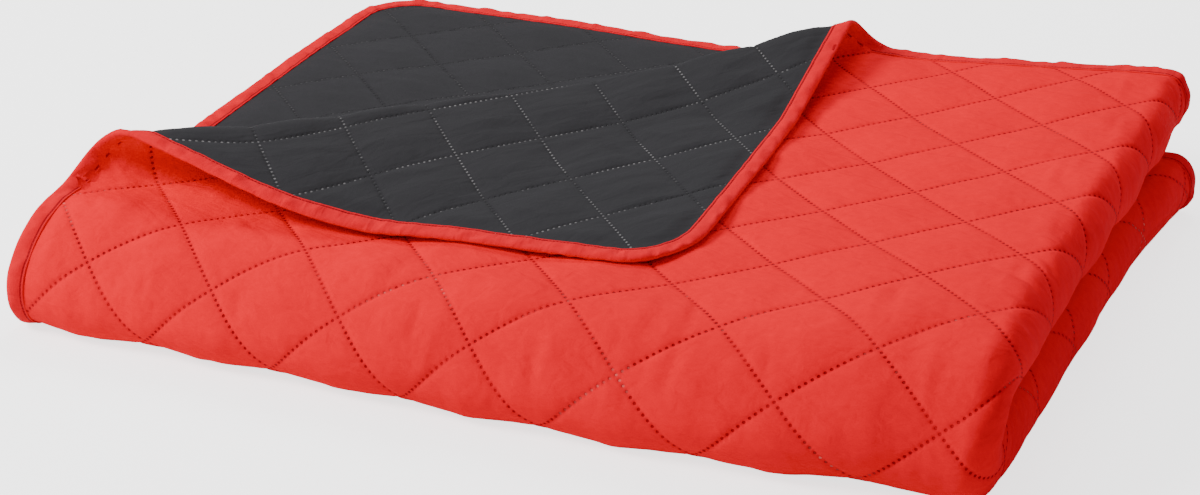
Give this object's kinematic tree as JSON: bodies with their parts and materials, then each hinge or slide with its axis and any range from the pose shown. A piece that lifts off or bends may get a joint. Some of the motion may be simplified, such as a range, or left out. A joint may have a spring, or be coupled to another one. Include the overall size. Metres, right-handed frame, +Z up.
{
  "type": "quilted bedspread",
  "caption": "Reversible quilted bedspread with a bound edge, folded flat, with a corner of its top layer rolled back to show the dark side.",
  "frame": {"origin": "The middle of the folded bedspread's rectangle as seen from above, on the surface that it lies on.", "axes": "+X runs along the front fold towards the side fold, +Y from the front fold to the back edges, and +Z up from the surface."},
  "size_m": [0.8331, 0.6806, 0.1395],
  "materials": {
    "face_cloth": "soft matt red microfibre, quilted in diamonds by lines of small welded dots",
    "back_cloth": "soft matt charcoal microfibre, quilted with the face by the same welded dots",
    "binding_tape": "folded red cloth tape, sewn along its inner edges"
  },
  "bodies": {
    "root": {"face_panel": "face_cloth", "back_panel": "back_cloth", "binding": "binding_tape"}
  },
  "joints": []
}
